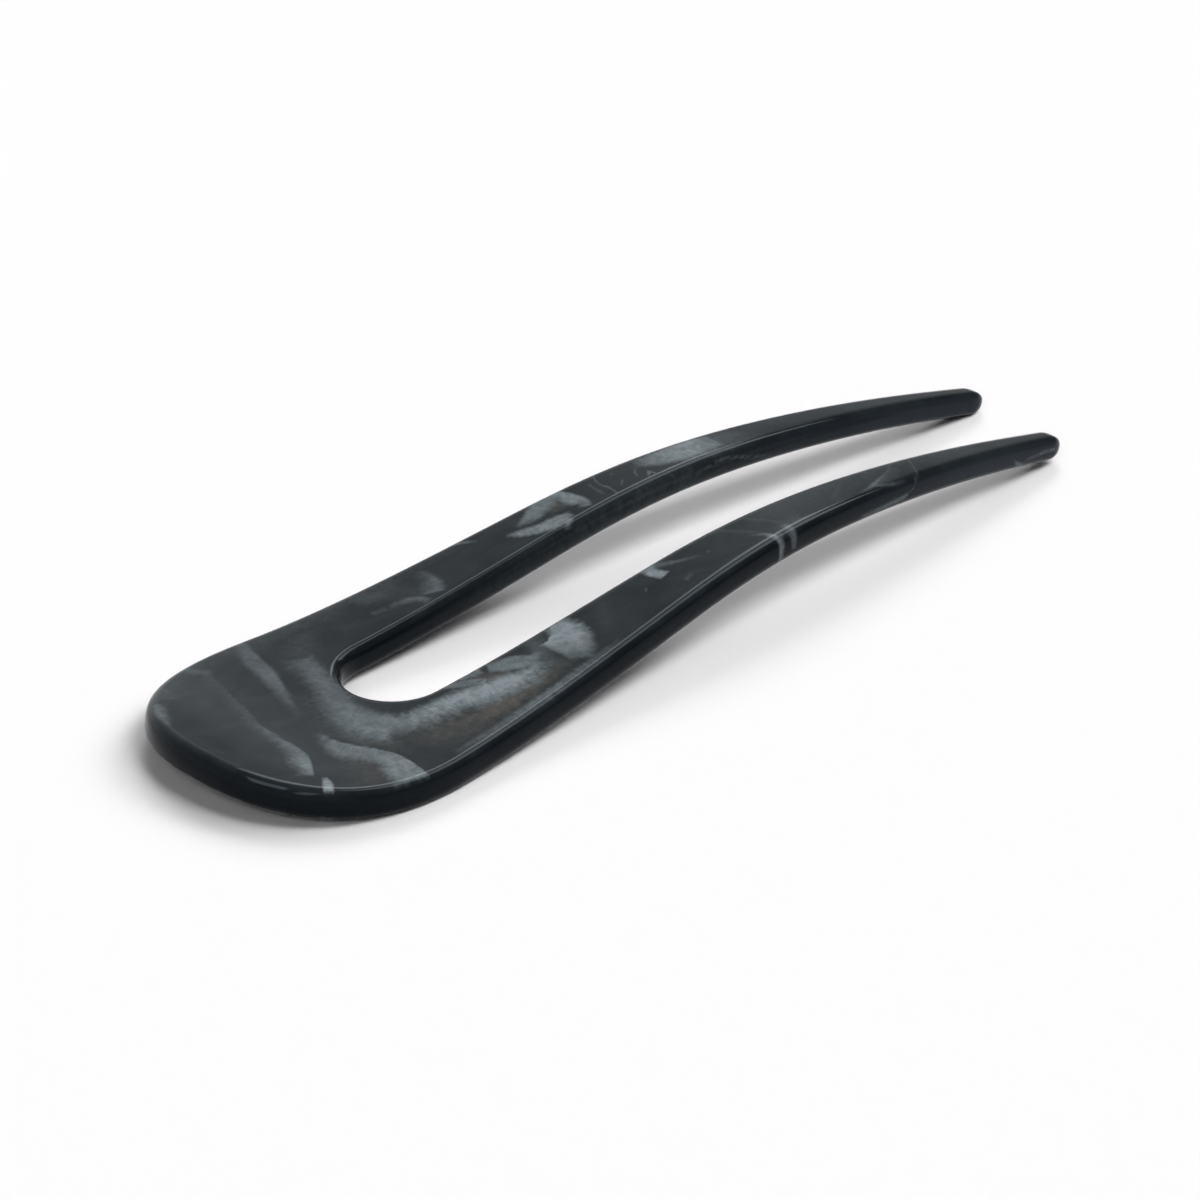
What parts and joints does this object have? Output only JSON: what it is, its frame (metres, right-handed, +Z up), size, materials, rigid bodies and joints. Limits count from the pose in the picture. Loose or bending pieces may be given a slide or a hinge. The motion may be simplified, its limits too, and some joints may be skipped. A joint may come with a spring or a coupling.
{
  "type": "french hair pin",
  "caption": "One-piece U shaped hair pin with a broad round crown, a long open slot and two tapering prongs, bent in a gentle wave, in polished black and pearl marbled acetate.",
  "frame": {"origin": "on the surface that the pin lies on, under the middle of its outline", "axes": "+Z up from that surface; +X from the crown to the tips of the prongs; +Y across the pin, to the side of the longer prong"},
  "size_m": [0.1204, 0.0346, 0.0089],
  "materials": {
    "acetate": "polished charcoal black cellulose acetate with soft pearl white streaks"
  },
  "bodies": {
    "root": {"hair_pin": "acetate"}
  },
  "joints": []
}
